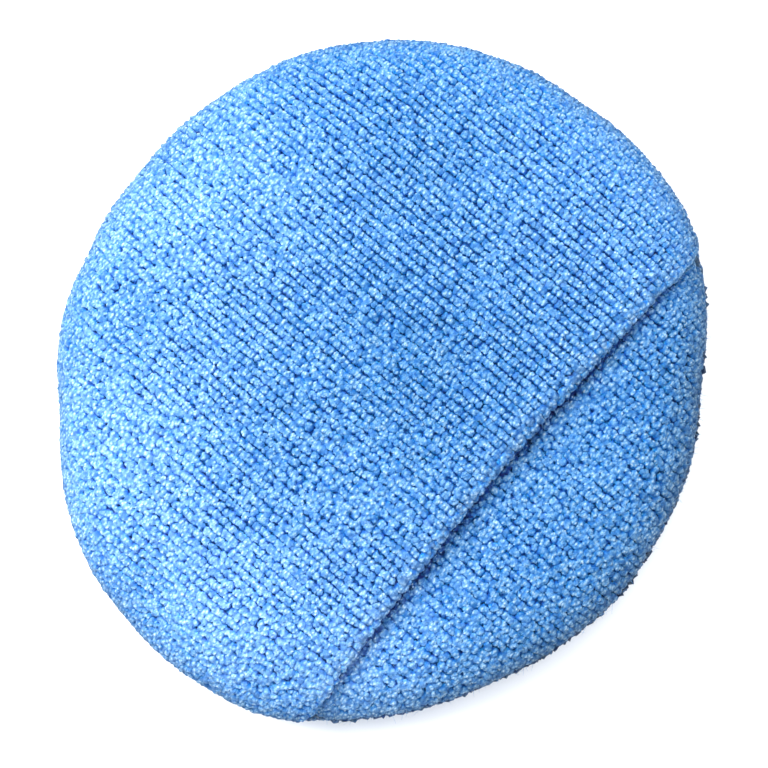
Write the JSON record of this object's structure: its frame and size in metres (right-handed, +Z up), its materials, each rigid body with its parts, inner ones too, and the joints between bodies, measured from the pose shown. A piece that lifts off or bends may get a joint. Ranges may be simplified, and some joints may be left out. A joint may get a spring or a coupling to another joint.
{
  "type": "polishing pad",
  "caption": "Round microfibre polishing pad with a soft foam core and a sewn finger pocket with an open mouth across one side.",
  "frame": {"origin": "centre of the flat working face, on the surface the pad lies on", "axes": "+Z up out of the face with the pocket; +X along the pocket's mouth; the mouth faces -Y, so fingers go in towards +Y"},
  "size_m": [0.132, 0.123, 0.0259],
  "materials": {
    "terry": "looped microfibre pile, matt with a soft sheen",
    "foam": "open-cell flexible foam, matt",
    "sewing_thread": "spun polyester, satin"
  },
  "bodies": {
    "pad": {"foam_core": "foam", "working_cover": "terry", "face_cover": "terry", "pocket_seam_edge": "terry", "overlock_thread": "sewing_thread", "seam_needle_thread": "sewing_thread", "seam_bobbin_thread": "sewing_thread", "closing_thread": "sewing_thread"},
    "pocket": {"pocket_panel": "terry", "hem_needle_thread": "sewing_thread", "hem_bobbin_thread": "sewing_thread"}
  },
  "joints": [
    {"name": "pocket_open", "type": "hinge", "parent": "pad", "child": "pocket", "pos_m": [0, 0.0615, 0.0105], "axis": [-1, 0, 0], "range_deg": [0, 12], "stiffness_Nm_per_rad": 0.05}
  ]
}
